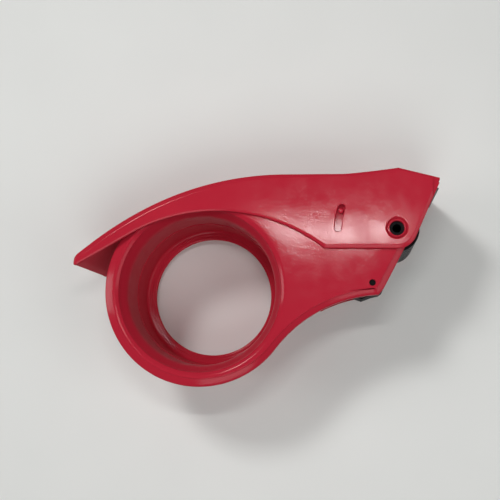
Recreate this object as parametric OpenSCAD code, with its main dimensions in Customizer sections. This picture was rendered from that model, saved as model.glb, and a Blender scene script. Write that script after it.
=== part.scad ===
// Hand-held packing tape dispenser: a ring frame with a tape hub, a swinging fishtail grip cover
// with a toothed blade, a pressing roller, and a sprung tongue that keeps the tape's end in place.
// It lies on its far side. X points to the roller end, Y to the grip, Z up out of the near side.
// The origin is on the hub's axis, in the plane that the dispenser rests on.

/* [Tape] */
// width of the tape that it takes
tape_w = 48; // [36:1:60]
// inside diameter of the tape's core
core_d = 76; // [66:0.5:84]
// play between the core and the hub, on the radius
core_play = 0.4; // [0.2:0.1:1]
// play of the roll between the ring's back and the far flank
tape_play = 0.7; // [0.3:0.1:1.5]
// largest radius of a full roll
roll_r = 60; // [50:1:64]

/* [Ring frame] */
// wall of the hub
hub_wall = 2; // [1.5:0.1:3]
// diameter of the hand hole in the hub's far lip
hand_hole_d = 62.4; // [40:0.1:64]
// thickness of that lip
lip_t = 2; // [1:0.1:4]
// how far the lip lies inside the hub's far end
lip_depth = 6; // [2:0.5:14]
// how much the hub's bore narrows towards that lip
hub_draft = 0.2; // [0:0.1:1.5]
// how far the hub's near mouth flares out past the hub
mouth_w = 4.5; // [2:0.1:8]
// how deep the flare is
mouth_h = 8; // [5:0.5:14]
// width of the ring outside the mouth
rim_w = 4.9; // [3:0.1:8]
// wall of that skirt
skirt_t = 2; // [1.2:0.1:3]
// thickness of both side plates
plate_t = 2; // [1.5:0.1:3]
// radius of the hollow lower edge that runs from the ring to the nose
waist_r = 65.8; // [55:0.1:90]
// direction from the hub to the centre of that radius, below the X axis
waist_a = 36.67; // [34:0.01:42]
// height of the near plate's hidden top edge
plate_top = 44.6; // [40:0.1:46]
// how far the far cheek's outline lies inside the near plate's
cheek_inset = 3; // [1:0.1:4]
// ribs behind the ring
rib_count = 9; // [0:1:16]
// direction of the first rib, clear of the roof
rib_a0 = 142; // [140:1:150]
// angle from the first rib to the last
rib_a = 160; // [120:1:165]
// thickness of a rib
rib_t = 1.6; // [1:0.1:3]

/* [Nose] */
// roller axis, which the cover also swings about
pivot_x = 95.3; // [88:0.1:104]
// height of that axis
pivot_y = 30; // [24:0.1:34]
// distance from that axis to the plate's front edge
nose_r = 7.5; // [6:0.1:9]
// lean of the front edge of the plate
nose_lean = 26.9; // [15:0.1:35]
// outside diameter of the hollow pivot bosses
boss_d = 8.8; // [8.2:0.1:12]
// how far a boss stops short of the cover's outer face
boss_short = 0.2; // [0:0.1:1]
// play of the cover on the bosses, on the radius
boss_play = 0.08; // [0.01:0.01:0.1]

/* [Roller] */
// diameter of the roller
roller_d = 21.8; // [18:0.1:26]
// diameter of the core under the rubber
roller_core_d = 17; // [14:0.1:19]
// diameter of the journals
journal_d = 7; // [5:0.1:7.4]
// play of the journals in the bosses, on the radius
journal_play = 0.05; // [0.01:0.01:0.1]
// how far the journals stop inside the bosses
journal_short = 2; // [0.5:0.1:3]
// gap between a roller end and its side plate
roller_gap = 0.3; // [0.2:0.1:1]
// gap between the roller's surface and the skirt, which is cut back round it
roller_room = 1; // [0.5:0.1:3]
// how much longer the roller is than the tape is wide
roller_over = 0.8; // [0:0.1:3]
// pitch of the grooves round the rubber
groove_pitch = 3; // [2:0.1:6]
// depth of those grooves
groove_h = 0.4; // [0.2:0.1:1]

/* [Grip cover] */
// wall of the two flanks
flank_t = 2; // [1.5:0.1:3]
// wall of the roof
roof_t = 2.2; // [1.5:0.1:3.5]
// gap between a flank and its side plate
side_gap = 0.3; // [0.2:0.05:1]
// gap between the roof's underside and the ring, which is cut back under it
roof_room = 0.7; // [0.3:0.1:2]
// room for the roll's core between the hub and the far flank
core_room = 2; // [1.2:0.1:4]
// height of the roof's flat stretch
roof_y = 56.5; // [54:0.1:64]
// where the flat stretch starts
flat_x0 = 40.7; // [30:0.1:46]
// how long it is
flat_l = 28.3; // [20:0.1:36]
// how far the peak lies past the flat stretch
peak_l = 27; // [20:0.5:32]
// how far the peak rises over it
peak_h = 2.9; // [1:0.1:5]
// how far the tip lies past the peak
tip_l = 19.6; // [14:0.1:24]
// how far the tip drops below the peak
tip_drop = 5; // [3:0.1:6]
// height of the blunt front of the tip
tip_h = 2.4; // [1:0.1:4]
// first radius of the fishtail
tail_r1 = 147.4; // [120:0.1:180]
// angle that it turns through
tail_a1 = 27.5; // [20:0.1:32]
// second, flatter radius of the fishtail
tail_r2 = 176.4; // [150:0.1:260]
// angle that it turns through
tail_a2 = 14.1; // [8:0.1:16]
// height of the fishtail's blunt end
tail_h = 4.8; // [3:0.1:7]
// wall that closes the fishtail's end
tail_t = 2.2; // [1.5:0.1:4]
// angle of the second radius over which that wall slopes up to the roof's underside
tail_fill = 8; // [4:0.5:8]
// radius of the arch under the flanks
arch_r = 86; // [70:1:100]
// top of that arch
arch_x = 8; // [0:0.5:16]
// gap between the top of that arch and the hub's outside
arch_gap = 0.7; // [0.5:0.1:4]
// angle of the arch towards the tail
arch_a1 = 28; // [20:0.5:32]
// rounding of the flank round the pivot
corner_r = 9.8; // [7:0.1:12]
// lean of the flank's front edge
front_lean = 23.3; // [10:0.1:30]
// how far the cover swings open
swing = 18; // [8:0.5:20]
// distance from the pivot to the stop studs
stop_r = 28; // [22:0.1:32]
// direction from the pivot to the stop studs, above the line to the tail
stop_a = 17.6; // [8:0.1:24]
// how far the slots run on past the studs when the cover is closed, as an angle
slot_over = 2.7; // [0:0.1:5]
// diameter of the stop studs
stud_d = 2.8; // [2:0.1:4]
// play of the studs in their slots, all round
stud_play = 0.3; // [0.2:0.05:0.6]

/* [Blade] */
// height at which the blade leaves the cover's front edge
blade_y = 50.1; // [47:0.1:51]
// how far its teeth stand out of the front edge
blade_out = 0.8; // [0.5:0.1:3]
// width of the blade
blade_w = 11; // [8:0.1:14]
// thickness of the blade
blade_t = 0.5; // [0.3:0.05:1]
// downward tilt of the blade
blade_tilt = 15; // [5:0.5:20]
// pitch of the teeth
tooth_pitch = 2; // [1.2:0.1:4]
// height of the teeth
tooth_h = 1.4; // [0.8:0.1:2]
// gap between the blade's ends and the flanks
blade_gap = 0.3; // [0.1:0.1:1]
// distance between the two blade screws
blade_screw_span = 32; // [16:1:44]
// shank diameter of the blade screws
blade_screw_d = 2; // [1.6:0.1:2.4]
// head diameter of the blade screws
blade_screw_head = 4; // [3:0.1:5]
// length of the blade screws under the head
blade_screw_l = 3.4; // [3:0.1:3.8]

/* [Tongue] */
// tongue pin from the roller axis, along X
tongue_dx = -11.5; // [-16:0.1:-8]
// tongue pin from the roller axis, along Y
tongue_dy = -26; // [-30:0.1:-22]
// diameter of the steel pin
pin_d = 3; // [2:0.1:4]
// play of the tongue on the pin, on the radius
pin_play = 0.06; // [0.01:0.01:0.1]
// how far the pin's ends lie below the plates' outer faces
pin_short = 0.8; // [0.2:0.1:1.2]
// outside diameter of the tongue's barrel
barrel_d = 6.4; // [5:0.1:8]
// thickness of the tongue at its nose
tongue_t = 2.2; // [1.6:0.1:3]
// gap between the nose and the roller, which the tape fills
nose_gap = 0.35; // [0.3:0.05:1]
// where the nose meets the roller, from straight below towards the tail
nose_a = 20; // [0:1:40]
// gap between the tongue's sides and the plates
tongue_gap = 0.4; // [0.3:0.1:1]
// how far the tongue tips away from the roller
tongue_swing = 20; // [10:1:30]
// wire of the torsion spring
wire_d = 0.6; // [0.4:0.05:0.8]
// play between the spring and the pin, on the radius
coil_play = 0.6; // [0.3:0.1:1]
// turns of the torsion spring
coil_turns = 4; // [2:1:6]
// gap between the turns
coil_gap = 0.5; // [0.42:0.02:1]

/* [Cheek screws] */
// shank diameter of the countersunk screws
cheek_screw_d = 2.2; // [1.8:0.1:2.6]
// head diameter of the countersunk screws
cheek_screw_head = 4.2; // [3.6:0.1:5]
// length of the countersunk screws
cheek_screw_l = 10; // [6:0.5:14]
// outside diameter of the upper spacer post
post_d = 7; // [5:0.1:8]
// play of the screw shanks in the far cheek, on the radius
screw_play = 0.15; // [0.05:0.05:0.3]
// gap between a full roll and the pieces in front of it
roll_gap = 1; // [0.5:0.1:4]
// thickness of the lower web between the side plates
web_t = 2; // [1.5:0.1:3]
// length of that web, from the full roll towards the nose
web_l = 6; // [4:0.5:8]

/* [Hidden] */
$fn = 96;
// overlap of cutters past the faces that they cut
cut = 1;
// steps of the round stretches in an outline
steps = 24;
ring_red = [0.70, 0.13, 0.20];
black = [0.08, 0.08, 0.09];
steel = [0.75, 0.76, 0.78];

// levels across the width, from the far side up
roller_l = tape_w + roller_over;
inner_w = roller_l + 2 * roller_gap;
width = inner_w + 2 * (plate_t + side_gap + flank_t);
cheek_out = flank_t + side_gap;
cheek_in = cheek_out + plate_t;
plate_in = width - cheek_in;
plate_out = width - cheek_out;
skirt_z = flank_t + tape_w + tape_play;
skirt_h = plate_out - skirt_z;

// radii of the hub and the ring
hub_r = core_d / 2 - core_play;
bore_r = hub_r - hub_wall;
mouth_r = hub_r + mouth_w;
rim_r = mouth_r + rim_w;

// places in the side view
pivot = [pivot_x, pivot_y];
tongue_at = pivot + [tongue_dx, tongue_dy];
stud_at = pivot + stop_r * [-cos(stop_a), sin(stop_a)];
waist = (rim_r + waist_r) * [cos(waist_a), -sin(waist_a)];
flat_x1 = flat_x0 + flat_l;
peak = [flat_x1 + peak_l, roof_y + peak_h];
tip = peak + [tip_l, -tip_drop];
tail_c1 = [flat_x0, roof_y - tail_r1];
tail_c2 = tail_c1 - (tail_r2 - tail_r1) * dir(90 + tail_a1);
arch_c = [arch_x, hub_r + arch_gap - arch_r];
front_n = [cos(front_lean), -sin(front_lean)];
nose_n = [cos(nose_lean), -sin(nose_lean)];
post_at = [roll_r + roll_gap + post_d / 2 - 2, pivot_y + 4];

function dir(a) = [cos(a), sin(a)];
// points on a round stretch from angle a0 to a1
function arc(c, r, a0, a1) = [for (i = [0:steps]) c + r * dir(a0 + (a1 - a0) * i / steps)];
// point on the cover's front edge at height y
function front_at(y) = pivot + corner_r * front_n
    + (y - pivot[1] - corner_r * front_n[1]) * [tan(front_lean), 1];
// point on the plate's front edge at height y, for an outline drawn in by i
function nose_at(y, i) = pivot + (nose_r - i) * nose_n
    + (y - pivot[1] - (nose_r - i) * nose_n[1]) * [tan(nose_lean), 1];

// roof line from the tip to the tail, lowered by d and run on past the tail by the angle over
function roof_line(d, over) = concat(
    [tip - [0, d], peak - [0, d], [flat_x1, roof_y - d]],
    arc(tail_c1, tail_r1 - d, 90, 90 + tail_a1),
    arc(tail_c2, tail_r2 - d, 90 + tail_a1, 90 + tail_a1 + tail_a2 + over));

// side outline of the cover: roof, blunt tail, arch, bottom edge, pivot corner, front edge
bottom_y = pivot_y - corner_r;
arch_end = acos((bottom_y - arch_c[1]) / arch_r);
tail_end = tail_c2 + tail_r2 * dir(90 + tail_a1 + tail_a2);
cover_line = concat(
    roof_line(0, 0),
    [tail_end - [0, tail_h]],
    arc(arch_c, arch_r, 90 + arch_a1, 90 - arch_end),
    arc(pivot, corner_r, -90, -front_lean),
    [front_at(tip[1] - tip_h)]);

// side outline of the near plate, drawn in by i
waist_end = 90 + asin((waist[0] - nose_at(tongue_at[1] - 5.4, 0)[0] + 1) / waist_r);
function plate_line(i) = concat(
    arc([0, 0], rim_r - i, asin((plate_top - i) / (rim_r - i)), 360 - waist_a),
    arc(waist, waist_r + i, 180 - waist_a, waist_end),
    [nose_at(tongue_at[1] - 2.4 + i / 2, i)],
    arc(pivot, nose_r - i, -nose_lean, 100),
    [[stud_at[0], plate_top - i]]);

// region under the roof's underside that the near plate keeps to, drawn in by i
reach = 2 * tail_r1;
function under_roof(i) = concat(roof_line(roof_t + roof_room + i, 6), [[-reach, -reach], [reach, -reach]]);

// blade line: a point on the cover's front edge, and the blade's own directions
blade_at = front_at(blade_y);
blade_l = inner_w + 2 * (plate_t + side_gap) - 2 * blade_gap;
blade_z = flank_t + blade_gap;
blade_root = blade_out - blade_w;
screw_u = blade_root + 3.4;

// moves a piece drawn flat, u along the blade and v across the cover, to the underside of the tip
module on_blade() {
    translate([blade_at[0], blade_at[1], 0])
        rotate([0, 0, -blade_tilt])
            rotate([90, 0, 0])
                children();
}

// one cylinder at a place in the side view, from z0 to z1
module rod(at, d, z0, z1) {
    translate([at[0], at[1], z0]) cylinder(d = d, h = z1 - z0);
}

// section of the hub, its far lip and its flared mouth
hub_section = concat(
    [[bore_r - hub_draft, 0], [hub_r, 0], [hub_r, skirt_z], [mouth_r + rim_w / 4, plate_in],
     [mouth_r + rim_w / 4, plate_out]],
    [for (i = [0:8]) let (t = 90 - 90 * i / 8)
        [mouth_r - (mouth_r - bore_r) * cos(t), plate_out - mouth_h + mouth_h * sin(t)]],
    [[bore_r - hub_draft, lip_depth + lip_t], [hand_hole_d / 2, lip_depth + lip_t],
     [hand_hole_d / 2, lip_depth], [bore_r - hub_draft, lip_depth]]);

// lower web between the plates, over the fixed leg of the spring, and the screw boss on it
coil_r = pin_d / 2 + coil_play + wire_d / 2;
leg_gap = 0.1;
web_x = roll_r + roll_gap;
web_y = tongue_at[1] - coil_r + wire_d / 2 + leg_gap;
web_boss_d = 6;
web_boss_at = [web_x + web_boss_d / 2, web_y + web_t / 2];
screw_places = [post_at, web_boss_at];
stud_short = 0.4;
// the ribs stop a little short of the skirt's free edge
rib_z = skirt_z + 0.4;

// near plate's outline drawn in by i, kept under the roof, from z0 to z1
module plate_prism(i, z0, z1) {
    intersection() {
        translate([0, 0, z0]) linear_extrude(z1 - z0) polygon(plate_line(i));
        translate([0, 0, z0]) linear_extrude(z1 - z0) polygon(under_roof(i));
    }
}

// red moulding: hub, ring, near side plate with its skirt and ribs, web, post, boss and stop stud
module side_frame() {
    color(ring_red)
    difference() {
        union() {
            rotate_extrude() polygon(hub_section);
            difference() {
                plate_prism(0, plate_in, plate_out);
                rod([0, 0], 2 * mouth_r + rim_w / 4, plate_in - cut, plate_out + cut);
            }
            difference() {
                plate_prism(0, skirt_z, plate_out);
                plate_prism(skirt_t, skirt_z - cut, plate_out + cut);
            }
            for (i = [0:1:rib_count - 1])
                rotate([90, 0, rib_a0 + rib_a * i / max(rib_count - 1, 1)])
                    linear_extrude(rib_t, center = true)
                        polygon([[hub_r - hub_wall / 4, rib_z], [rim_r - skirt_t / 2, rib_z],
                                 [rim_r - skirt_t / 2, plate_in + plate_t / 4],
                                 [mouth_r + rim_w / 8, plate_in + plate_t / 4]]);
            translate([web_x, web_y, cheek_in])
                cube([web_l, web_t, plate_in - cheek_in + plate_t / 2]);
            rod(web_boss_at, web_boss_d, cheek_in, cheek_out + cheek_screw_l + plate_t);
            rod(post_at, post_d, cheek_in, plate_in + plate_t / 2);
            rod(pivot, boss_d, plate_in, width - boss_short);
            rod(stud_at, stud_d, plate_in + plate_t / 2, width - stud_short);
        }
        rod(pivot, journal_d + 2 * journal_play, plate_in - cut, width + cut);
        rod(pivot, roller_d + 2 * roller_room, skirt_z - cut, plate_in);
        rod(tongue_at, pin_d, plate_in - cut, plate_out + cut);
        for (at = screw_places)
            rod(at, cheek_screw_d, cheek_in - cut, cheek_out + cheek_screw_l);
    }
}

// red moulding: the small far side plate with the far pivot boss and stop stud
sink_h = (cheek_screw_head - cheek_screw_d) / 2;
module far_cheek() {
    color(ring_red * 0.9)
    difference() {
        union() {
            translate([0, 0, cheek_out])
                linear_extrude(plate_t)
                    difference() {
                        union() {
                            polygon(plate_line(cheek_inset));
                            translate(pivot) circle(r = nose_r - side_gap);
                        }
                        circle(r = roll_r + roll_gap - cheek_inset);
                    }
            rod(pivot, boss_d, boss_short, cheek_in);
            rod(stud_at, stud_d, stud_short, cheek_out + plate_t / 2);
        }
        rod(pivot, journal_d + 2 * journal_play, -cut, cheek_in + cut);
        rod(tongue_at, pin_d, cheek_out - cut, cheek_in + cut);
        for (at = screw_places) {
            rod(at, cheek_screw_d + 2 * screw_play, cheek_out - cut, cheek_in + cut);
            translate([at[0], at[1], cheek_out])
                cylinder(d1 = cheek_screw_head, d2 = cheek_screw_d, h = sink_h);
        }
    }
}

// two countersunk self-tapping screws that hold the far cheek on the post and the web
slot_w = 0.7;
slot_h = 0.7;
module cheek_screws() {
    color(steel)
    for (at = screw_places)
        difference() {
            union() {
                rod(at, cheek_screw_d, cheek_out, cheek_out + cheek_screw_l);
                translate([at[0], at[1], cheek_out])
                    cylinder(d1 = cheek_screw_head, d2 = cheek_screw_d, h = sink_h);
            }
            for (turn = [0, 90])
                translate([at[0], at[1], cheek_out])
                    rotate([0, 0, turn])
                        cube([cheek_screw_head * 0.6, slot_w, 2 * slot_h], center = true);
        }
}

// red moulding: roof, two flanks with arc slots and pivot holes, solid tip that carries the blade
blade_dir = [cos(blade_tilt), -sin(blade_tilt)];
land_back = blade_at + (blade_root - 1.5) * blade_dir;
land_roof = [land_back[0], peak[1] - roof_t - (land_back[0] - peak[0]) * tip_drop / tip_l];
cavity_line = concat(
    [blade_at + reach * blade_dir, land_back, land_roof, peak - [0, roof_t],
     [flat_x1, roof_y - roof_t]],
    arc(tail_c1, tail_r1 - roof_t, 90, 90 + tail_a1),
    arc(tail_c2, tail_r2 - roof_t, 90 + tail_a1, 90 + tail_a1 + tail_a2 - tail_fill),
    [tail_end + [tail_t, -tail_h], [tail_end[0] + tail_t, -reach], [reach, -reach]]);
stud_slot_w = stud_d + 2 * stud_play;
slot_a0 = 180 - stop_a - slot_over;
slot_a1 = 180 - stop_a + swing;
slot_line = concat(
    arc(pivot, stop_r + stud_slot_w / 2, slot_a0, slot_a1),
    arc(pivot + stop_r * dir(slot_a1), stud_slot_w / 2, slot_a1 + 5, slot_a1 + 175),
    arc(pivot, stop_r - stud_slot_w / 2, slot_a1, slot_a0),
    arc(pivot + stop_r * dir(slot_a0), stud_slot_w / 2, slot_a0 + 185, slot_a0 + 355));
hole_d = boss_d + 2 * boss_play;
hole_chamfer = 1;
module grip_cover() {
    color(ring_red * 1.08)
    difference() {
        linear_extrude(width) polygon(cover_line);
        translate([0, 0, flank_t])
            linear_extrude(width - 2 * flank_t) polygon(cavity_line);
        rod(pivot, hole_d, -cut, width + cut);
        translate([pivot[0], pivot[1], width - hole_chamfer])
            cylinder(d1 = hole_d, d2 = hole_d + 2 * hole_chamfer, h = hole_chamfer);
        translate([pivot[0], pivot[1], 0])
            cylinder(d1 = hole_d + 2 * hole_chamfer, d2 = hole_d, h = hole_chamfer);
        translate([0, 0, -cut]) linear_extrude(width + 2 * cut) polygon(slot_line);
        rod([0, 0], 2 * (hub_r + core_room), -cut, flank_t + cut);
        on_blade()
            for (v = [-0.5, 0.5])
                translate([screw_u, width / 2 + v * blade_screw_span, blade_t - blade_screw_l])
                    cylinder(d = blade_screw_d, h = blade_screw_l + cut);
    }
}

// toothed steel blade on the underside of the tip
tooth_n = floor((blade_l - tooth_pitch / 2) / tooth_pitch);
tooth_z = blade_z + (blade_l - tooth_n * tooth_pitch) / 2;
tooth_base = blade_out - tooth_h;
module blade() {
    color(steel)
    on_blade()
        linear_extrude(blade_t)
            difference() {
                polygon(concat(
                    [[blade_root, blade_z], [tooth_base, blade_z]],
                    [for (i = [0:2 * tooth_n])
                        [i % 2 == 0 ? tooth_base : blade_out, tooth_z + i * tooth_pitch / 2]],
                    [[tooth_base, blade_z + blade_l], [blade_root, blade_z + blade_l]]));
                for (v = [-0.5, 0.5])
                    translate([screw_u, width / 2 + v * blade_screw_span])
                        circle(d = blade_screw_d + 2 * screw_play);
            }
}

// two pan-head screws that hold the blade
blade_head_h = 1.2;
module blade_screws() {
    color(steel)
    on_blade()
        for (v = [-0.5, 0.5])
            translate([screw_u, width / 2 + v * blade_screw_span, blade_t])
                difference() {
                    union() {
                        translate([0, 0, -blade_screw_l]) cylinder(d = blade_screw_d, h = blade_screw_l);
                        cylinder(d = blade_screw_head, h = blade_head_h);
                    }
                    for (turn = [0, 90])
                        translate([0, 0, blade_head_h])
                            rotate([0, 0, turn])
                                cube([blade_screw_head * 0.6, slot_w, slot_h], center = true);
                }
}

// black moulded roller core, hollow, with a journal at each end
roller_z = cheek_in + roller_gap;
core_bore_d = journal_d - 2.8;
journal_end = boss_short + journal_short;
module roller_core() {
    color(black)
    difference() {
        union() {
            rod(pivot, roller_core_d, roller_z, roller_z + roller_l);
            rod(pivot, journal_d, journal_end, width - journal_end);
        }
        rod(pivot, core_bore_d, journal_end - cut, width - journal_end + cut);
    }
}

// black rubber sleeve on the core, with shallow grooves that keep the tape from sticking
roller_edge = 0.5;
groove_n = floor((roller_l - groove_pitch) / groove_pitch);
groove_z = (roller_l - (groove_n - 1) * groove_pitch) / 2;
groove_half = groove_h * 1.2;
sleeve_section = concat(
    [[roller_core_d / 2, 0], [roller_d / 2 - roller_edge, 0], [roller_d / 2, roller_edge]],
    [for (i = [0:groove_n - 1], k = [-1:1])
        [roller_d / 2 - (k == 0 ? groove_h : 0), groove_z + i * groove_pitch + k * groove_half]],
    [[roller_d / 2, roller_l - roller_edge], [roller_d / 2 - roller_edge, roller_l],
     [roller_core_d / 2, roller_l]]);
module roller_sleeve() {
    color(black * 1.6)
    translate([pivot[0], pivot[1], roller_z])
        rotate_extrude() polygon(sleeve_section);
}

// black tongue: barrel on the pin, nose plate up to the roller, heel along the lower edge
nose_at_roller = pivot + (roller_d / 2 + nose_gap + tongue_t / 2) * dir(270 - nose_a);
arm = nose_at_roller - tongue_at;
arm_l = norm(arm);
arm_dir = arm / arm_l;
arm_right = [arm_dir[1], -arm_dir[0]];
arm_base = coil_r - wire_d / 2 - leg_gap;
tongue_z0 = cheek_in + tongue_gap;
tongue_z1 = skirt_z - tongue_gap;
coil_pitch = wire_d + coil_gap;
leg_turn = atan2(arm_dir[1], arm_dir[0]) / 360;
coil_l = (coil_turns + leg_turn) * coil_pitch + wire_d;
spring_room = coil_l + 2;
tongue_mid = (tongue_z0 + tongue_z1) / 2;
heel_line = [[2.6, 1.2], [6.1, 0.4], [6.1, -0.6], [5.5, -1.6], [4.1, -2.6], [0, -3.6], [-4.7, -5.5],
             [-9.5, -4], [-12.2, -3.2], [-12, -2.2], [-2, barrel_d / 3]];
arm_line = [arm_base * arm_right, arm + tongue_t / 2 * arm_right, arm - tongue_t / 2 * arm_right,
            -arm_base * arm_right];
module tongue() {
    color(black)
    difference() {
        union() {
            rod(tongue_at, barrel_d, tongue_z0, tongue_z1);
            rod(nose_at_roller, tongue_t, tongue_z0, tongue_z1);
            translate([tongue_at[0], tongue_at[1], tongue_z0])
                linear_extrude(tongue_z1 - tongue_z0) polygon(arm_line);
            translate([tongue_at[0], tongue_at[1], tongue_z0])
                linear_extrude(tongue_z1 - tongue_z0) polygon(heel_line);
        }
        rod(tongue_at, pin_d + 2 * pin_play, tongue_z0 - cut, tongue_z1 + cut);
        translate([tongue_at[0] - 14, tongue_at[1] - 10, tongue_mid - spring_room / 2])
            cube([14 + barrel_d, 10 + barrel_d / 2 + 1.2, spring_room]);
    }
}

// steel pin that the tongue turns on, pressed into both side plates
module tongue_pin() {
    color(steel)
    rod(tongue_at, pin_d, cheek_out + pin_short, plate_out - pin_short);
}

// torsion spring on that pin: one leg under the web, one behind the nose plate
leg_l = 10;
leg_half = arm_base + (tongue_t / 2 - arm_base) * leg_l / arm_l + wire_d / 2 + leg_gap;
coil_steps = ceil(8 * (coil_turns + leg_turn));
coil_span = 360 * (coil_turns + leg_turn);
coil_a0 = -90;
coil_z0 = tongue_mid - coil_l / 2 + wire_d / 2;
function coil_a(i) = coil_a0 + coil_span * i / coil_steps;
function on_coil(i) = [tongue_at[0] + coil_r * cos(coil_a(i)), tongue_at[1] + coil_r * sin(coil_a(i)),
    coil_z0 + coil_pitch * coil_span / 360 * i / coil_steps];
leg_end = tongue_at + leg_l * arm_dir + leg_half * arm_right;
wire_path = concat(
    [[web_x + wire_d, on_coil(0)[1], on_coil(0)[2]]],
    [for (i = [0:coil_steps]) on_coil(i)],
    [[leg_end[0], leg_end[1], on_coil(coil_steps)[2]]]);
wire_turn = concat([coil_a(0)], [for (i = [0:coil_steps]) coil_a(i)], [coil_a(coil_steps)]);
// corners of the wire's six-sided section at point k of its path
function wire_ring(k) = [for (s = [0:5])
    wire_path[k] + wire_d / 2 * [cos(60 * s) * cos(wire_turn[k]), cos(60 * s) * sin(wire_turn[k]),
                                 sin(60 * s)]];
wire_n = len(wire_path);
wire_points = [for (k = [0:wire_n - 1], p = wire_ring(k)) p];
wire_sides = [for (k = [0:wire_n - 2], s = [0:5], half = [0, 1])
    let (a = 6 * k + s, b = 6 * k + (s + 1) % 6)
    half == 0 ? [a, a + 6, b] : [b, a + 6, b + 6]];
wire_caps = concat([for (s = [1:4]) [0, s, s + 1]],
    [for (s = [1:4]) [6 * wire_n - 6, 6 * wire_n - 6 + s + 1, 6 * wire_n - 6 + s]]);
least_gap = min([for (i = [0:coil_steps], k = [0:coil_steps]) if (k - i > 5)
    norm(on_coil(i) - on_coil(k))]) - wire_d;
echo(spring_least_gap = least_gap);
module tongue_spring() {
    color(steel * 0.9) polyhedron(wire_points, concat(wire_sides, wire_caps), convexity = 8);
}

side_frame();
far_cheek();
cheek_screws();
grip_cover();
blade();
blade_screws();
roller_core();
roller_sleeve();
tongue();
tongue_pin();
tongue_spring();
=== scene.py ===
import bmesh
import bpy
import numpy as np
from mathutils import Matrix


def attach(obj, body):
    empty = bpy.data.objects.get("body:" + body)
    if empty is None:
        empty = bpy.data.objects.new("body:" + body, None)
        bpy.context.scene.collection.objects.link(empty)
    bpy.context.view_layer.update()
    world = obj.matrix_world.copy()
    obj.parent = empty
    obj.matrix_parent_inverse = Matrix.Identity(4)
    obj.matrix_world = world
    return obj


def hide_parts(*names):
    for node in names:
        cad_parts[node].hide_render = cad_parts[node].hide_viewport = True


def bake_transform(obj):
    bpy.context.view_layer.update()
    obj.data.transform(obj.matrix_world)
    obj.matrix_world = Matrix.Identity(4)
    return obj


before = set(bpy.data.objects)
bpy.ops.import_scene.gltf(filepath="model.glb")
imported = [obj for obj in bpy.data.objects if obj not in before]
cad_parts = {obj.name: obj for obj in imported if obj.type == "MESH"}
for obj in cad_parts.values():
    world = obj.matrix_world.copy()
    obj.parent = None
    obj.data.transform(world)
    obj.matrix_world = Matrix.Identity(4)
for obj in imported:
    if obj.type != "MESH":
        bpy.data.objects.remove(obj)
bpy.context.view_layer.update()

MM = 0.001


# Near frame moulding: hub, flared mouth, ring and near side plate in one piece.
# Injection-moulded red ABS, with a chamfered rim, a skirt behind it, and the pivot boss, the stop stud,
# the post and the web that the far cheek is screwed to standing on its back.
HUB_R, BORE_R, BORE_LOW_R, HAND_R = 37.6, 36.3, 35.4, 31.2
MOUTH_R, RIM_R = 42.1, 47.0
SKIRT_Z, PLATE_IN, PLATE_OUT = 50.7, 53.7, 55.7
PIVOT, PIVOT_R = np.array([95.3, 30.0]), 7.5
PIN_AT = np.array([83.8, 4.0])
STUD_AT = np.array([68.611, 38.466])
POST_AT, WEB_AT = np.array([62.5, 34.0]), np.array([64.0, 3.0])
# the rim's chamfer is wider round the ring than along the plate, and ends in a raised step
RING_BAND, RIM_BAND, RIM_DROP, STEP = 3.8, 2.6, 1.6, 0.4
# the bore ends in a cove and a lip, and has a fine step half way down, where the mould's two cores met
LIP_Z, COVE_R, SEAM_Z, SEAM = 8.3, 1.8, 29.0, 0.32


def polar(centre, radius, angle):
    """The point at a radius from a centre, at an angle in degrees."""
    return np.asarray(centre) + radius * np.array([np.cos(np.radians(angle)), np.sin(np.radians(angle))])


def arc(centre, radius, a0, a1, n):
    """Points at one radius about a centre, from angle a0 to a1 in degrees, in n equal steps."""
    t = np.radians(np.linspace(a0, a1, n + 1))
    return np.stack([centre[0] + radius * np.cos(t), centre[1] + radius * np.sin(t)], -1)


def chain(*corners, step):
    """Straight runs through the corners, each cut into equal steps of about the given length."""
    corners = np.array(corners, float)
    runs = [np.linspace(a, b, max(int(np.hypot(*(b - a)) / step), 1), endpoint=False)
            for a, b in zip(corners[:-1], corners[1:])]
    return np.concatenate(runs + [corners[-1:]])


def inward(line, closed):
    """Mitred inward normals of a line that runs anticlockwise: (n1 + n2) / (1 + n1.n2) of the runs that meet."""
    step = np.roll(line, -1, 0) - line
    if not closed:
        step[-1] = step[-2]
    step /= np.linalg.norm(step, axis=1, keepdims=True)
    after = np.stack([-step[:, 1], step[:, 0]], -1)
    before = np.roll(after, 1, 0)
    if not closed:
        before[0] = after[0]
    return (before + after) / (1 + np.sum(before * after, 1, keepdims=True))


def at_level(flat, z):
    """Puts points of the side view at a height across the dispenser, which may be one number or one per point."""
    return np.concatenate([flat, np.broadcast_to(np.reshape(z, (-1, 1)), (len(flat), 1))], 1)


def sheet(columns, wrap_u, wrap_v):
    """Quads between neighbours of a grid of points; a wrapped direction closes on itself."""
    nu, nv = columns.shape[:2]
    u, v = np.meshgrid(np.arange(nu if wrap_u else nu - 1), np.arange(nv if wrap_v else nv - 1), indexing="ij")
    u1, v1 = (u + 1) % nu, (v + 1) % nv
    quads = np.stack([u * nv + v, u1 * nv + v, u1 * nv + v1, u * nv + v1], -1).reshape(-1, 4)
    return columns.reshape(-1, 3), quads.tolist()


def spun(profile, at, sides):
    """A profile of radius and height turned about an upright axis, with its first and last circles capped flat."""
    t = np.radians(np.arange(sides) * 360 / sides)
    ring = np.stack([np.cos(t), np.sin(t)], -1)
    grid = np.stack([at_level(np.asarray(at) + r * ring, z) for r, z in profile], 1)
    points, faces = sheet(grid, True, False)
    n = len(profile)
    return points, faces + [list(range(0, sides * n, n))[::-1], list(range(n - 1, sides * n, n))]


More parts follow.
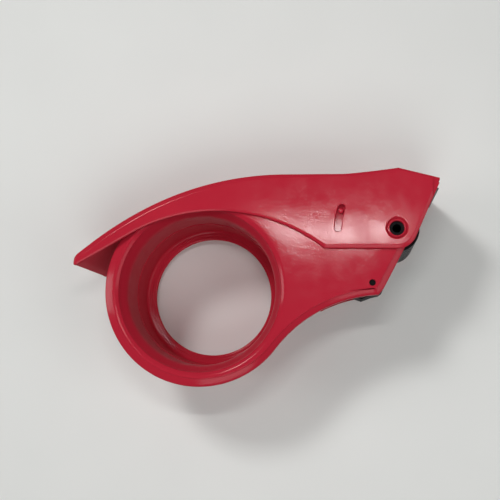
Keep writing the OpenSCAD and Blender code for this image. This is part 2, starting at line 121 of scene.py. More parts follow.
def tube(profile, at, sides):
    """A closed section of radius and height turned about an upright axis."""
    t = np.radians(np.arange(sides) * 360 / sides)
    ring = np.stack([np.cos(t), np.sin(t)], -1)
    return sheet(np.stack([at_level(np.asarray(at) + r * ring, z) for r, z in profile], 1), True, True)


def stacked(*slices):
    """Flat outlines of as many points each, one over another, joined and capped at both ends."""
    points, faces = sheet(np.stack([at_level(flat, z) for flat, z in slices], 1), True, False)
    n = len(slices)
    return points, faces + [list(range(0, len(points), n))[::-1], list(range(n - 1, len(points), n))]


def prism(flat, z0, z1):
    """A flat outline carried straight across the dispenser and capped at both ends."""
    return stacked((flat, z0), (flat, z1))


def solid(name, *shells):
    """One object from closed shells in millimetres; a shell whose volume comes out negative is turned round."""
    points, faces, base = [], [], 0
    for shell_points, shell_faces in shells:
        fan = np.array([[f[0], f[i], f[i + 1]] for f in shell_faces for i in range(1, len(f) - 1)])
        p = shell_points[fan]
        inside_out = np.sum(p[:, 0] * np.cross(p[:, 1], p[:, 2])) < 0
        faces += [[base + i for i in (f[::-1] if inside_out else f)] for f in shell_faces]
        points.append(shell_points)
        base += len(shell_points)
    mesh = bpy.data.meshes.new(name)
    mesh.from_pydata((np.concatenate(points) * MM).tolist(), [], faces)
    mesh.validate()
    piece = bpy.data.objects.new(name, mesh)
    bpy.context.collection.objects.link(piece)
    return piece


def smooth(piece, angle):
    """Smooth shading, broken at edges that turn by more than the angle in degrees."""
    piece.data.polygons.foreach_set("use_smooth", np.ones(len(piece.data.polygons), bool))
    piece.data.set_sharp_from_angle(angle=np.radians(angle))


def cut(piece, cutter):
    """Takes the cutter's closed form out of the piece for good and throws the cutter away."""
    taken = piece.modifiers.new("cut", "BOOLEAN")
    taken.object, taken.operation, taken.solver = cutter, "DIFFERENCE", "EXACT"
    mesh = bpy.data.meshes.new_from_object(piece.evaluated_get(bpy.context.evaluated_depsgraph_get()))
    piece.modifiers.clear()
    piece.data = mesh
    bpy.data.objects.remove(cutter)


# outline of the near plate, anticlockwise: ring, hollow lower edge, nose corner, front edge, pivot, hidden top
WAIST_R, WAIST_TURN, FRONT_TURN, TOP_TURN, TOP_Y = 65.8, 36.67, -26.9, 100, 44.6
waist = polar((0, 0), RIM_R + WAIST_R, -WAIST_TURN)
corner_low, corner_high = np.array([86.79, -1.65]), np.array([89.30, 1.60])
top_start = np.degrees(np.arcsin(TOP_Y / RIM_R))
turn = np.radians(np.linspace(top_start, 360 - WAIST_TURN, 261)[:-1])
out = np.stack([np.cos(turn), np.sin(turn)], -1)
# the cover's tail is two arcs that meet at an angle, and the ring is cut back to leave room under them
TAIL_1, TAIL_2 = np.array([40.7, -90.9]), np.array([54.091, -116.623])
TAIL_1R, TAIL_2R, TAIL_MEET, TAIL_ROOM = 147.4, 176.4, 117.5, 2.9


def reach(centre, radius):
    """How far rays from the hub axis run to a circle round a centre: e.c + sqrt((e.c)^2 - c.c + R^2)."""
    near = out @ centre
    return near + np.sqrt(near ** 2 - centre @ centre + radius ** 2)


meet = polar(TAIL_1, TAIL_1R - TAIL_ROOM, TAIL_MEET)
cut_back = np.where(turn < np.arctan2(meet[1], meet[0]),
                    reach(TAIL_1, TAIL_1R - TAIL_ROOM), reach(TAIL_2, TAIL_2R - TAIL_ROOM))
outline = np.concatenate([
    out * np.minimum(RIM_R, cut_back)[:, None],
    arc(waist, WAIST_R, 180 - WAIST_TURN, 93.2, 80)[:-1],
    chain(corner_low, corner_high, polar(PIVOT, PIVOT_R, FRONT_TURN), step=1.0)[:-1],
    arc(PIVOT, PIVOT_R, FRONT_TURN, TOP_TURN, 24)[:-1],
    chain(polar(PIVOT, PIVOT_R, TOP_TURN), (STUD_AT[0], TOP_Y), polar((0, 0), RIM_R, top_start), step=1.5)[:-1]])
into = inward(outline, True)
into = np.mean([np.roll(into, k, 0) for k in range(-3, 4)], 0)
# where the ring is cut back, the chamfer and the skirt narrow to what is left between the outline and the mouth
spare = np.linalg.norm(outline, axis=1, keepdims=True) - MOUTH_R - 1.1
column = np.arange(len(outline))[:, None]
band = np.clip(spare, 0.4, np.interp(column, [200, 259, len(outline) - 8, len(outline)],
                                     [RING_BAND, RIM_BAND, RIM_BAND, RING_BAND]))
wall = np.clip(spare, 0.4, 2.0)
# each column of the grid has its own heading from the hub's axis: along the plate, in step with the outline's length
run = np.linalg.norm(np.diff(np.concatenate([outline, outline[:1]]), axis=0), axis=1)[len(turn):]
heading = np.concatenate([turn, turn[-1] + (2 * np.pi + turn[0] - turn[-1]) * np.cumsum(run) / (run.sum() + run[0])])
ray = np.stack([np.cos(heading), np.sin(heading)], -1)


def along_ray(r, z):
    """The point of each column at one radius from the hub axis."""
    return at_level(r * ray, z)


def towards_hub(start, r, share, z):
    """A point of each column between its own start and one radius from the hub axis."""
    return at_level(start + share * (r * ray - start), z)


# one lap of the section, from the bore's far end over the hub's outside, the skirt, the rim and the mouth to the lip
lap = (
    [along_ray(BORE_LOW_R, 0.4), along_ray(BORE_LOW_R + 0.4, 0), along_ray(HUB_R - 0.4, 0)]
    + [along_ray(HUB_R, z) for z in np.linspace(0.4, SKIRT_Z - 1.9, 7)]
    + [along_ray(HUB_R + d, SKIRT_Z - h) for d, h in ((0.15, 1.1), (0.6, 0.4), (1.2, -0.2))]
    + [along_ray(MOUTH_R + 1.15, PLATE_IN)]
    + [towards_hub(outline + 1.1 * wall * into, MOUTH_R + 1.15, s, PLATE_IN) for s in (0.66, 0.33, 0.0)]
    + [at_level(outline + wall * into, z) for z in (PLATE_IN - 0.2, SKIRT_Z + 0.3)]
    + [at_level(outline + d * wall * into, SKIRT_Z) for d in (0.85, 0.15)]
    + [at_level(outline, z) for z in (SKIRT_Z + 0.3, PLATE_OUT - RIM_DROP - 0.55)]
    + [at_level(outline + d * band * into, PLATE_OUT - STEP - (RIM_DROP - STEP) * (1 - d) - h)
       for d, h in ((0.01, 0.35), (0.03, 0.18), (0.07, 0.06), (0.13, 0), (0.5, 0), (1, 0))]
    + [at_level(outline + (band + d) * into, PLATE_OUT - h)
       for d, h in ((0.08, 0.25), (0.2, 0.13), (0.34, 0.05), (0.48, 0.01), (0.6, 0))]
    + [towards_hub(outline + (band + 0.6) * into, MOUTH_R + 0.4, s, PLATE_OUT) for s in (0.3, 0.6, 0.9)]
    + [along_ray(MOUTH_R + d, PLATE_OUT - h) for d, h in
       ((0.4, 0), (0.2, 0.008), (0, 0.033), (-0.2, 0.074), (-0.4, 0.133), (-0.6, 0.211), (-0.8, 0.31), (-1.7, 0.81),
        (-1.86, 0.91), (-1.98, 1.03), (-2.07, 1.2), (-2.15, 1.42))]
    + [along_ray(r, z) for r, z in
       ((39.6, 53.5), (39.0, 52.5), (38.4, 51.5), (37.85, 50.6), (37.4, 49.8), (37.05, 49.0), (36.8, 48.1),
        (36.67, 47.0))]
    + [along_ray(BORE_R + SEAM + 0.003 * (z - SEAM_Z), z) for z in np.linspace(45.5, SEAM_Z + 0.06, 5)]
    + [along_ray(BORE_R + d, SEAM_Z - h) for d, h in ((SEAM - 0.06, 0), (0.06, 0), (0, 0.06))]
    + [along_ray(BORE_R, z) for z in np.linspace(SEAM_Z - 4, LIP_Z + COVE_R + 0.4, 4)]
    + [at_level(q * ray, z) for q, z in zip(*(arc((BORE_R - COVE_R, LIP_Z + COVE_R), COVE_R, 0, -90, 7).T))]
    + [along_ray(HAND_R + d, LIP_Z - h) for d, h in
       ((2.5, 0), (2.38, 0.04), (2.29, 0.14), (2.24, 0.28), (2.18, 0.38), (2.05, 0.42), (1.0, 0.42), (0.7, 0.47),
        (0.42, 0.61), (0.2, 0.83), (0.06, 1.1), (0, 1.4))]
    + [along_ray(r, z) for r, z in ((HAND_R, 6.4), (HAND_R + 0.4, 6.0), (BORE_LOW_R, 6.0))])
near_frame = solid("near_frame_moulding", sheet(np.stack(lap, 1), True, True))
cut(near_frame, solid("roller_room", spun([(11.9, 49.0), (11.9, 53.7), (3.9, 53.7), (3.9, 59.0)], PIVOT, 96)))
cut(near_frame, solid("pin_hole", spun([(1.5, 52.0), (1.5, 55.3), (1.7, 55.75), (1.8, 56.5)], PIN_AT, 48)))

# nine ribs behind the ring, from the skirt to the hub
rib_shape = np.array([[38.6, 51.1], [45.8, 51.1], [45.8, 54.2], [43.0, 54.2]])
ribs = []
for rib_turn in 142 + 20 * np.arange(9):
    along, side = polar((0, 0), 1, rib_turn), polar((0, 0), 1, rib_turn + 90)
    walls = [np.concatenate([rib_shape[:, :1] * along + s * side, rib_shape[:, 1:]], 1) for s in (-0.8, 0.8)]
    points, faces = sheet(np.stack(walls, 1), True, False)
    ribs.append((points, faces + [[0, 2, 4, 6][::-1], [1, 3, 5, 7]]))


def weld(piece, other):
    """Adds another object's shells to the piece."""
    both = bmesh.new()
    both.from_mesh(piece.data)
    both.from_mesh(other.data)
    both.to_mesh(piece.data)
    both.free()
    bpy.data.objects.remove(other)


weld(near_frame, solid(
    "frame_back", *ribs,
    tube([(3.55, 53.7), (4.4, 53.7), (4.4, 57.55), (4.3, 57.75), (4.1, 57.8), (3.8, 57.8), (3.6, 57.7), (3.55, 57.5)],
         PIVOT, 96),
    spun([(1.4, 54.6), (1.4, 56.9), (1.3, 57.25), (1.05, 57.48), (0.7, 57.58), (0.3, 57.6)], STUD_AT, 48),
    spun([(3.5, 4.3), (3.5, 52.7), (3.75, 53.3), (4.3, 53.8), (4.3, 54.2)], POST_AT, 64),
    spun([(3.0, 4.3), (3.0, 13.8), (2.6, 14.3)], WEB_AT, 64),
    prism(np.array([[61.0, 2.3], [61.3, 2.0], [66.7, 2.0], [67.0, 2.3], [67.0, 3.7], [66.7, 4.0], [61.3, 4.0],
                    [61.0, 3.7]]), 4.3, 54.2)))
smooth(near_frame, 21)


def linear(hex_code):
    """An sRGB hex value as a linear colour with full opacity."""
    c = np.array([int(hex_code[i:i + 2], 16) for i in (1, 3, 5)]) / 255
    return (*np.where(c <= 0.04045, c / 12.92, ((c + 0.055) / 1.055) ** 2.4), 1.0)


def add(tree, kind, inputs, **settings):
    """Adds one node with its settings; an input is linked if it is given a socket, and set if it is given a value."""
    node = tree.nodes.new(kind)
    for name, value in settings.items():
        setattr(node, name, value)
    for name, value in inputs.items():
        if isinstance(value, bpy.types.NodeSocket):
            tree.links.new(value, node.inputs[name])
        else:
            node.inputs[name].default_value = value
    return node


def finish(name, build, **sockets):
    """A material whose Principled shader gets its steady sockets here and its linked ones from build(tree, where)."""
    made = bpy.data.materials.new(name)
    made.use_nodes = True
    tree = made.node_tree
    shader = tree.nodes["Principled BSDF"]
    for socket, value in sockets.items():
        shader.inputs[socket.replace("_", " ")].default_value = value
    for socket, source in build(tree, add(tree, "ShaderNodeTexCoord", {}).outputs["Object"]).items():
        tree.links.new(source, shader.inputs[socket])
    return made


def moulded_red(deep, bright, unpolished):
    """ABS moulding: an even red that drifts a little over 30 mm, with slow waves about 6 mm long from shrinkage,
    which break up a reflection, and a skin drawn 1.3 mm coarse so that it shows. The flat faces come from a
    polished mould; the walls that slide out of it are rougher, by what unpolished(tree, where, facing) gives."""
    def build(tree, where):
        drift = add(tree, "ShaderNodeTexNoise", {"Vector": where, "Scale": 1 / (30 * MM), "Detail": 3.0})
        waves = add(tree, "ShaderNodeTexNoise", {"Vector": where, "Scale": 1 / (6 * MM), "Detail": 2.0})
        skin = add(tree, "ShaderNodeTexNoise", {"Vector": where, "Scale": 1 / (1.3 * MM), "Detail": 3.0})
        colour = add(tree, "ShaderNodeMix", {"Factor": drift.outputs["Fac"], "A": linear(deep), "B": linear(bright)},
                     data_type="RGBA")
        facing = add(tree, "ShaderNodeSeparateXYZ", {0: add(tree, "ShaderNodeTexCoord", {}).outputs["Normal"]})
        level = add(tree, "ShaderNodeMath", {0: facing.outputs["Z"]}, operation="ABSOLUTE")
        dull = add(tree, "ShaderNodeMapRange", {"Value": level.outputs["Value"], "From Min": 0.45, "From Max": 0.85,
                                                "To Min": unpolished(tree, where, facing), "To Max": 0.0})
        gloss = add(tree, "ShaderNodeMapRange", {"Value": waves.outputs["Fac"], "From Min": 0.3, "From Max": 0.7,
                                                 "To Min": 0.09, "To Max": 0.15})
        rough = add(tree, "ShaderNodeMath", {0: gloss.outputs["Result"], 1: dull.outputs["Result"]}, operation="ADD")
        low = add(tree, "ShaderNodeBump", {"Height": waves.outputs["Fac"], "Strength": 0.3, "Distance": 0.12 * MM})
        fine = add(tree, "ShaderNodeBump", {"Height": skin.outputs["Fac"], "Strength": 0.33, "Distance": 0.05 * MM,
                                            "Normal": low.outputs["Normal"]})
        return {"Base Color": colour.outputs["Result"], "Roughness": rough.outputs["Value"],
                "Normal": fine.outputs["Normal"]}
    return build


def deep_bore(tree, where, facing):
    """Roughness of the frame's walls above its flat faces: most down in the bore, by distance from the hub's axis."""
    flat = add(tree, "ShaderNodeVectorMath", {0: where, 1: (1.0, 1.0, 0.0)}, operation="MULTIPLY")
    radius = add(tree, "ShaderNodeVectorMath", {0: flat.outputs["Vector"]}, operation="LENGTH")
    return add(tree, "ShaderNodeMapRange", {"Value": radius.outputs["Value"], "From Min": BORE_R * MM,
                                            "From Max": (BORE_R + 0.7) * MM, "To Min": 0.6,
                                            "To Max": 0.22}).outputs["Result"]


frame_red = finish("red_abs_moulded", moulded_red("#AE2032", "#BA2639", deep_bore), Specular_IOR_Level=0.16)
near_frame.data.materials.clear()
near_frame.data.materials.append(frame_red)
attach(near_frame, "frame")
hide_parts("side_frame")


# Grip cover: the swinging hood with a rounded roof, two flat flanks and a solid tip that carries the blade.
# Injection-moulded red ABS; it hangs on the hollow pivot bosses, and a stud in each arc slot stops its swing.
WIDTH, FLANK_T, ROOF_T = 58.0, 2.0, 2.2
BLADE_AT, LAND_BACK = np.array([114.627, 50.1]), np.array([103.325, 53.128])
PEAK, TIP, TIP_LOW = np.array([96.0, 59.4]), np.array([115.6, 54.4]), np.array([115.445, 52.0])
ARCH, ARCH_R, ARCH_START, ARCH_END = np.array([8.0, -47.7]), 86.0, 118, 52.15
HEM_Y, CORNER_R = 20.2, 9.8
rise = np.linspace(0, 1, 25)
fall = np.concatenate([np.linspace(0, 0.36, 13), np.linspace(0.37, 1, 25)])[:, None]
TAIL_LOW, TAIL_WALL, TAIL_END, NOSE_R = np.array([-63.02, 10.49]), 2.2, 131.6, 1.9
end_x = np.array([0, 0.15, 0.4, 0.8, 1.35, 1.9, TAIL_WALL, TAIL_WALL + 0.1, 3.0, 3.7])
end_cos = np.cos(np.radians(TAIL_END)) + end_x / TAIL_2R
# the roof's line and the hem's, point for point: two arcs, a level run, a slow rise and a fall to the tip
ROOF_TOP = 56.5
RISE_FROM = np.array([69.0, ROOF_TOP])
roof = np.concatenate([
    TAIL_2 + TAIL_2R * np.stack([end_cos, np.sqrt(1 - end_cos ** 2)], -1),
    arc(TAIL_2, TAIL_2R, 129.7, TAIL_MEET, 26)[:-1], arc(TAIL_1, TAIL_1R, TAIL_MEET, 90, 60)[:-1],
    np.linspace((TAIL_1[0], ROOF_TOP), RISE_FROM, 31)[:-1],
    (RISE_FROM + (PEAK - RISE_FROM) * np.stack([rise, rise ** 1.3], -1))[:-1],
    PEAK + fall * (TIP - PEAK), [0.55 * TIP + 0.45 * TIP_LOW]])
arch_start = polar(ARCH, ARCH_R, ARCH_START)
corner = arc(PIVOT, CORNER_R, -90, -23.3, 12)
edge = corner[-1] + (BLADE_AT - corner[-1]) * np.linspace(0.01, 1, 25)[:, None]
to_arch = (arch_start - TAIL_LOW) / (arch_start - TAIL_LOW)[0]
hem = np.concatenate([
    TAIL_LOW + end_x[:, None] * to_arch,
    np.linspace(TAIL_LOW + 4.4 * to_arch, arch_start, 33)[:-1], arc(ARCH, ARCH_R, ARCH_START, 68.0, 54)[:-1],
    arc(ARCH, ARCH_R, 68.0, ARCH_END, 30)[:-1], np.linspace((60.77, HEM_Y), (PIVOT[0], HEM_Y), 25)[:-1],
    corner, edge, [TIP_LOW]])
# the tail's end is rounded over, by a quarter circle of NOSE_R that draws all the lines in
upright = np.clip((roof[:, :1] - TAIL_LOW[0]) / 7, 0, 1)
roof_in = upright * -inward(roof, False) + (1 - upright) * np.array([0.0, -1.0])
hem_in = upright * inward(hem, False) + (1 - upright) * np.array([0.0, 1.0])
round_x = np.clip(roof[:, :1] - TAIL_LOW[0], 0, NOSE_R)
nose_over = NOSE_R - np.sqrt(np.maximum(2 * NOSE_R * round_x - round_x ** 2, 0))
roof, hem = roof + nose_over * roof_in, hem + nose_over * hem_in
ceiling = roof + ROOF_T * roof_in
# the tail is a wedge, solid from its end to where its slanting lower face meets the roof's underside
fill_top = polar(TAIL_2, TAIL_2R - ROOF_T, 123.6)
fill = np.clip((ceiling[:, :1] - TAIL_LOW[0] - TAIL_WALL) / (fill_top[0] - TAIL_LOW[0] - TAIL_WALL), 0, 1)
fill_y = TAIL_LOW[1] + fill * (fill_top[1] - TAIL_LOW[1])
lowest = hem[:, 1:] + 0.04 * (roof - hem)[:, 1:]
ceiling[:, 1:] = np.where(fill < 1, np.maximum(fill_y, lowest), ceiling[:, 1:])
# the tip is solid down to the land that the blade is screwed to
ceiling[-26:-1] = LAND_BACK + (BLADE_AT + (-0.05, 0.35) - LAND_BACK) * np.linspace(0, 1, 25)[:, None]
ceiling[-1] = 0.9 * hem[-1] + 0.1 * roof[-1]
height = np.linalg.norm(roof - hem, axis=1, keepdims=True)
roof_round = np.minimum(np.interp(roof[:, :1], [-62, 10, 60, 115], [3.0, 2.8, 1.5, 1.2]), 0.42 * height)
hem_round = np.minimum(np.interp(hem[:, :1], [-62, -20, 40, 70], [0.9, 0.9, 1.2, 1.8]), 0.25 * height)
# section of a rounded bevel: how far in from the edge, and how far below the flank, in parts of its width
bevel = ((0, 0.62), (0.02, 0.52), (0.06, 0.43), (0.12, 0.36), (0.2, 0.31), (0.5, 0.175), (0.84, 0.03), (0.92, 0.008),
         (1, 0))


def level(side, depth):
    """Height of points at a depth below one flank, drawn in at the tail's end; side is -1 at the floor and 1 on top."""
    return WIDTH / 2 + side * (WIDTH / 2 - depth - nose_over)


def flank(side):
    """Rounded outside of one flank as loops from its lower edge to the roof."""
    low, high = hem + (hem_round + 0.2) * hem_in, roof + (roof_round + 0.2) * roof_in
    return (
        [at_level(hem, level(side, FLANK_T - 0.05)), at_level(hem, level(side, FLANK_T - 0.1))]
        + [at_level(hem + i * hem_round * hem_in, level(side, d * hem_round)) for i, d in bevel]
        + [at_level(low + share * (high - low), level(side, 0)) for share in (0, 0.25, 0.5, 0.75, 1)]
        + [at_level(roof + i * roof_round * roof_in, level(side, d * roof_round)) for i, d in bevel[::-1]]
        + [at_level(roof, level(side, roof_round))])


def lining(side):
    """Inside of one flank as loops from the roof's underside, with a 0.8 mm fillet, to its lower edge."""
    drop = hem - ceiling
    fillet = drop * np.minimum(0.8 / np.linalg.norm(drop, axis=1, keepdims=True), 0.45)
    return (
        [at_level(ceiling, level(side, FLANK_T + 0.8)), at_level(ceiling + 0.3 * fillet, level(side, FLANK_T + 0.25)),
         at_level(ceiling + fillet, level(side, FLANK_T))]
        + [at_level(ceiling + fillet + share * (drop - fillet), level(side, FLANK_T)) for share in (0.33, 0.66, 0.985)])


over = [at_level(roof, z) for z in np.linspace(WIDTH - 6, 6, 9)]
under = [at_level(ceiling, z) for z in np.linspace(8, WIDTH - 8, 7)]
loops = np.stack(flank(1) + over + flank(-1)[::-1] + lining(-1)[::-1] + under + lining(1), 1)
points, faces = sheet(loops, False, True)
around = loops.shape[1]
faces += [list(range(around))[::-1], list(range(len(points) - around, len(points)))]
cover = solid("grip_cover_moulding", (points, faces))

# each arc slot is centred on the stud's path about the pivot, and its edges are chamfered
SWING_R, SLOT_HALF, SLOT_TOP, SLOT_LOW, SLOT_EDGE = 28.0, 1.7, 159.7, 180.4, 0.3


def slot(wider):
    """Outline of the arc slot that the stud runs in, made wider all round by a given amount."""
    half = SLOT_HALF + wider
    return np.concatenate([
        arc(PIVOT, SWING_R + half, SLOT_TOP, SLOT_LOW, 12),
        arc(polar(PIVOT, SWING_R, SLOT_LOW), half, SLOT_LOW + 5, SLOT_LOW + 175, 14),
        arc(PIVOT, SWING_R - half, SLOT_LOW, SLOT_TOP, 12),
        arc(polar(PIVOT, SWING_R, SLOT_TOP), half, SLOT_TOP + 185, SLOT_TOP + 355, 14)])


cut(cover, solid(
    "cover_openings",
    stacked((slot(0), 55), (slot(0), WIDTH - SLOT_EDGE), (slot(2 * SLOT_EDGE), WIDTH + SLOT_EDGE)),
    stacked((slot(2 * SLOT_EDGE), -SLOT_EDGE), (slot(0), SLOT_EDGE), (slot(0), 3)),
    prism(np.array([[112.3, 44.0], [120, 44], [120, 60], [112.3, 60]]), 57.1, 59),
    spun([(4.48, 55), (4.48, 57.0), (5.48, 58.0), (5.88, 58.4)], PIVOT, 96),
    spun([(5.88, -0.4), (5.48, 0), (4.48, 1.0), (4.48, 3)], PIVOT, 96),
    spun([(39.6, -1), (39.6, 3)], (0, 0), 192)))
smooth(cover, 28)


def under_roof(tree, where, facing):
    """Roughness of the cover's walls above its flat faces: little on the roof, most on those that face down from it."""
    return add(tree, "ShaderNodeMapRange", {"Value": facing.outputs["Y"], "From Min": -0.3, "From Max": 0.0,
                                            "To Min": 0.6, "To Max": 0.22}).outputs["Result"]


cover_red = finish("red_abs_cover", moulded_red("#B12133", "#BD283A", under_roof), Specular_IOR_Level=0.16)
cover.data.materials.clear()
cover.data.materials.append(cover_red)
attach(cover, "cover")
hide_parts("grip_cover")


def dress(node, material):
    """Gives a carried-over CAD piece its finish."""
    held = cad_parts[node]
    held.data.materials.clear()
    held.data.materials.append(material)


# Far cheek and its two screws: the small plate behind the roller that carries the far pivot boss and stud.
# The plate is the frame's red ABS; the screws are countersunk, of steel with a bright zinc plating.
dress("far_cheek", frame_red)


def zinc_plate(tree, where):
    """Barrel-plated zinc: grey with faint blue, mottled over 0.7 mm where the pieces rubbed in the barrel."""
    mottle = add(tree, "ShaderNodeTexNoise", {"Vector": where, "Scale": 1 / (0.7 * MM), "Detail": 3.0})
    colour = add(tree, "ShaderNodeMix", {"Factor": mottle.outputs["Fac"], "A": linear("#AEB2B6"),
                                         "B": linear("#CFD2D3")}, data_type="RGBA")
    rough = add(tree, "ShaderNodeMapRange", {"Value": mottle.outputs["Fac"], "To Min": 0.22, "To Max": 0.45})
    return {"Base Color": colour.outputs["Result"], "Roughness": rough.outputs["Result"]}


screw_zinc = finish("zinc_plated_steel", zinc_plate, Metallic=1.0)
dress("cheek_screws", screw_zinc)


# Blade and its screws: a strip of spring steel with a row of cut teeth, screwed under the cover's tip.
# Ground on its faces, so fine lines run across its width; the pan-head screws are zinc plated.
def ground_steel(tree, where):
    """Ground strip: streaks 0.15 mm wide along the grinding, drawn 0.4 mm wide so that they show."""
    along = add(tree, "ShaderNodeMapping", {"Vector": where, "Scale": (1 / (6 * MM), 1 / (6 * MM), 1 / (0.4 * MM))})
    streaks = add(tree, "ShaderNodeTexNoise", {"Vector": along.outputs["Vector"], "Scale": 1.0, "Detail": 3.0})
    colour = add(tree, "ShaderNodeMix", {"Factor": streaks.outputs["Fac"], "A": linear("#7C7E80"),
                                         "B": linear("#97999A")}, data_type="RGBA")
    rough = add(tree, "ShaderNodeMapRange", {"Value": streaks.outputs["Fac"], "To Min": 0.20, "To Max": 0.42})
    lines = add(tree, "ShaderNodeBump", {"Height": streaks.outputs["Fac"], "Strength": 0.2, "Distance": 0.01 * MM})
    return {"Base Color": colour.outputs["Result"], "Roughness": rough.outputs["Result"],
            "Normal": lines.outputs["Normal"]}


dress("blade", finish("ground_spring_steel", ground_steel, Metallic=1.0))
dress("blade_screws", screw_zinc)


# Roller: a hollow moulded core that turns in the pivot bosses, with a grooved rubber sleeve pressed on it.
# The core is black polypropylene, the sleeve a dull black rubber dusted lighter with a little talc in patches.
def moulded_black(tree, where):
    """Black polypropylene from a finely eroded mould: a grain of 0.5 mm that dulls the gloss in patches."""
    grain = add(tree, "ShaderNodeTexNoise", {"Vector": where, "Scale": 1 / (0.5 * MM), "Detail": 2.0})
    patch = add(tree, "ShaderNodeTexNoise", {"Vector": where, "Scale": 1 / (8 * MM), "Detail": 2.0})
    colour = add(tree, "ShaderNodeMix", {"Factor": patch.outputs["Fac"], "A": linear("#060608"),
                                         "B": linear("#0D0E11")}, data_type="RGBA")
    rough = add(tree, "ShaderNodeMapRange", {"Value": patch.outputs["Fac"], "To Min": 0.48, "To Max": 0.62})
    relief = add(tree, "ShaderNodeBump", {"Height": grain.outputs["Fac"], "Strength": 0.3, "Distance": 0.03 * MM})
    return {"Base Color": colour.outputs["Result"], "Roughness": rough.outputs["Result"],
            "Normal": relief.outputs["Normal"]}


def sleeve_rubber(tree, where):
    """Extruded rubber: dull near-black with a blue cast, dusted lighter in patches about 4 mm across."""
    dust = add(tree, "ShaderNodeTexNoise", {"Vector": where, "Scale": 1 / (4 * MM), "Detail": 4.0})
    pores = add(tree, "ShaderNodeTexNoise", {"Vector": where, "Scale": 1 / (0.3 * MM), "Detail": 2.0})
    colour = add(tree, "ShaderNodeMix", {"Factor": dust.outputs["Fac"], "A": linear("#070709"),
                                         "B": linear("#101115")}, data_type="RGBA")
    rough = add(tree, "ShaderNodeMapRange", {"Value": dust.outputs["Fac"], "To Min": 0.28, "To Max": 0.45})
    relief = add(tree, "ShaderNodeBump", {"Height": pores.outputs["Fac"], "Strength": 0.3, "Distance": 0.02 * MM})
    return {"Base Color": colour.outputs["Result"], "Roughness": rough.outputs["Result"],
            "Normal": relief.outputs["Normal"]}


core_black = finish("black_polypropylene", moulded_black, Specular_IOR_Level=0.12)
dress("roller_core", core_black)
dress("roller_sleeve", finish("black_rubber", sleeve_rubber, Specular_IOR_Level=0.12))


# Tongue, its pin and its spring: the sprung flap that presses the tape's end against the roller.
# The flap is the core's black polypropylene on a blackened steel pin; the spring is drawn carbon-steel wire.
def blackened_steel(tree, where):
    """Black oxide: a thin dark skin, browner where it is rubbed, in patches of about 1.5 mm."""
    rub = add(tree, "ShaderNodeTexNoise", {"Vector": where, "Scale": 1 / (1.5 * MM), "Detail": 3.0})
    colour = add(tree, "ShaderNodeMix", {"Factor": rub.outputs["Fac"], "A": linear("#060607"),
                                         "B": linear("#100F0E")}, data_type="RGBA")
    rough = add(tree, "ShaderNodeMapRange", {"Value": rub.outputs["Fac"], "To Min": 0.55, "To Max": 0.70})
    return {"Base Color": colour.outputs["Result"], "Roughness": rough.outputs["Result"]}


def drawn_wire(tree, where):
    """Drawn wire: bright grey with die lines about 0.2 mm apart."""
    lines = add(tree, "ShaderNodeTexNoise", {"Vector": where, "Scale": 1 / (0.2 * MM), "Detail": 1.0})
    colour = add(tree, "ShaderNodeMix", {"Factor": lines.outputs["Fac"], "A": linear("#8E9093"),
                                         "B": linear("#BFC1C3")}, data_type="RGBA")
    rough = add(tree, "ShaderNodeMapRange", {"Value": lines.outputs["Fac"], "To Min": 0.22, "To Max": 0.38})
    return {"Base Color": colour.outputs["Result"], "Roughness": rough.outputs["Result"]}


dress("tongue", core_black)
dress("tongue_pin", finish("black_oxide_steel", blackened_steel, Specular_IOR_Level=0.1))

# the wire's middle line is a leg on the web, four turns about the pin and a leg on the tongue
COIL_R, WIRE_R, COIL_LOW, COIL_HIGH, WIRE_SIDES = 2.4, 0.3, 25.203, 29.797, 10
LEG_ENDS = (61.6, 1.6, COIL_LOW), (89.955, 12.094, COIL_HIGH)
wind = np.radians(np.linspace(-90, 1413.19, 101))
coil = np.stack([PIN_AT[0] + COIL_R * np.cos(wind), PIN_AT[1] + COIL_R * np.sin(wind),
                 np.linspace(COIL_LOW, COIL_HIGH, 101)], -1)
legs = [np.linspace(LEG_ENDS[0], coil[0], 12)[:-1], np.linspace(coil[-1], LEG_ENDS[1], 8)[1:]]
wire = np.concatenate([legs[0], coil, legs[1]])
aside = np.concatenate([np.full(len(legs[0]), wind[0]), wind, np.full(len(legs[1]), wind[-1])])
aside = np.stack([np.cos(aside), np.sin(aside), 0 * aside], -1)
rim = np.radians(np.arange(WIRE_SIDES) * 360 / WIRE_SIDES)[None, :, None]
skin = WIRE_R * (np.cos(rim) * aside[:, None] + np.sin(rim) * np.array([0.0, 0, 1]))
points, faces = sheet(wire[:, None] + skin, False, True)
faces += [list(range(WIRE_SIDES))[::-1], list(range(len(points) - WIRE_SIDES, len(points)))]
spring = solid("tongue_spring_wire", (points, faces))
smooth(spring, 40)
spring.data.materials.append(finish("drawn_spring_wire", drawn_wire, Metallic=1.0))
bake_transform(spring)
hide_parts("tongue_spring")


# Set: a plain pale table top, soft studio light from above, and a camera that looks down as in the photograph.
def table_top(tree, where):
    """Matt painted board: a pale grey that varies by a hair over 60 mm."""
    drift = add(tree, "ShaderNodeTexNoise", {"Vector": where, "Scale": 1 / (60 * MM), "Detail": 2.0})
    colour = add(tree, "ShaderNodeMix", {"Factor": drift.outputs["Fac"], "A": linear("#E4E5E2"),
                                         "B": linear("#EAEBE8")}, data_type="RGBA")
    return {"Base Color": colour.outputs["Result"]}


square = np.array([[-1200.0, -1200], [1200, -1200], [1200, 1200], [-1200, 1200]])
table = solid("table_top", prism(square, -20, -0.2))
table.data.materials.append(finish("pale_board", table_top, Roughness=0.8))


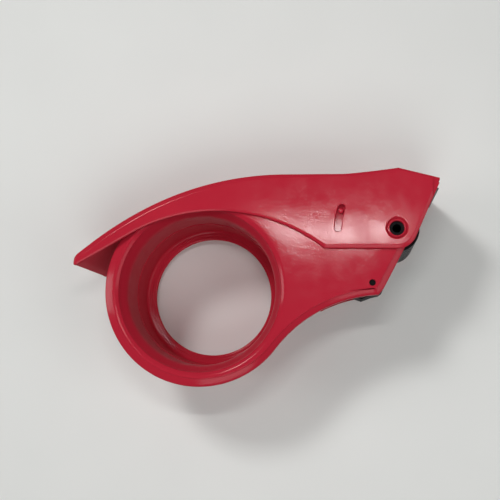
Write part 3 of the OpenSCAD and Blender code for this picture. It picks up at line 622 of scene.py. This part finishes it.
def placed(across, up, away, at):
    """The matrix of an object at a place, with its own X, Y and Z axes along three given directions."""
    return Matrix.Translation(at) @ Matrix((across, up, away)).transposed().to_4x4()


def lamp(name, at, target, size, power):
    """A rectangular soft box at a place in metres, turned to a target."""
    light = bpy.data.lights.new(name, "AREA")
    light.shape, light.size, light.size_y, light.energy = "RECTANGLE", size[0], size[1], power
    held = bpy.data.objects.new(name, light)
    away = np.array(at) - np.array(target)
    away = away / np.linalg.norm(away)
    across = np.cross((0.0, 1.0, 0.0), away)
    across = across / np.linalg.norm(across)
    held.matrix_world = placed(across, np.cross(away, across), away, at)
    bpy.context.collection.objects.link(held)


lamp("key_box", (-0.45, 0.55, 0.95), (0.03, 0.0, 0.03), (0.22, 0.22), 4.9)
lamp("fill_box", (0.85, -0.2, 0.8), (0.03, 0.0, 0.03), (0.6, 0.6), 2.5)
lamp("gloss_box", (0.055, 0.106, 0.56), (0.06, 0.03, 0.05), (0.15, 0.014), 0.46)
lamp("low_box", (0.1, -0.55, 0.9), (0.05, 0.0, 0.05), (0.5, 0.5), 2.5)
lamp("side_box", (-0.9, 0.05, 0.62), (0.0, 0.0, 0.03), (0.3, 0.3), 1.6)

sky = bpy.data.worlds.new("studio")
sky.use_nodes = True
sky.node_tree.nodes["Background"].inputs["Color"].default_value = linear("#F4F5F6")
sky.node_tree.nodes["Background"].inputs["Strength"].default_value = 0.09
bpy.context.scene.world = sky

view = bpy.data.cameras.new("view")
view.lens, view.sensor_width = 63.46, 36.0
seen = bpy.data.objects.new("view", view)
aim = np.array([-0.1134, 0.1339, -1.0])
aim = aim / np.linalg.norm(aim)
right = np.array([1.0, 0.0, 0.0]) - aim[0] * aim
right = right / np.linalg.norm(right)
up = np.cross(right, aim)
lean = 0.0042  # the camera's slight roll, in radians
right, up = np.cos(lean) * right + np.sin(lean) * up, np.cos(lean) * up - np.sin(lean) * right
seen.matrix_world = placed(right, up, -aim, (0.07262, -0.03715, 0.47747))
bpy.context.collection.objects.link(seen)
bpy.context.scene.camera = seen
bpy.context.scene.view_settings.view_transform = "Standard"
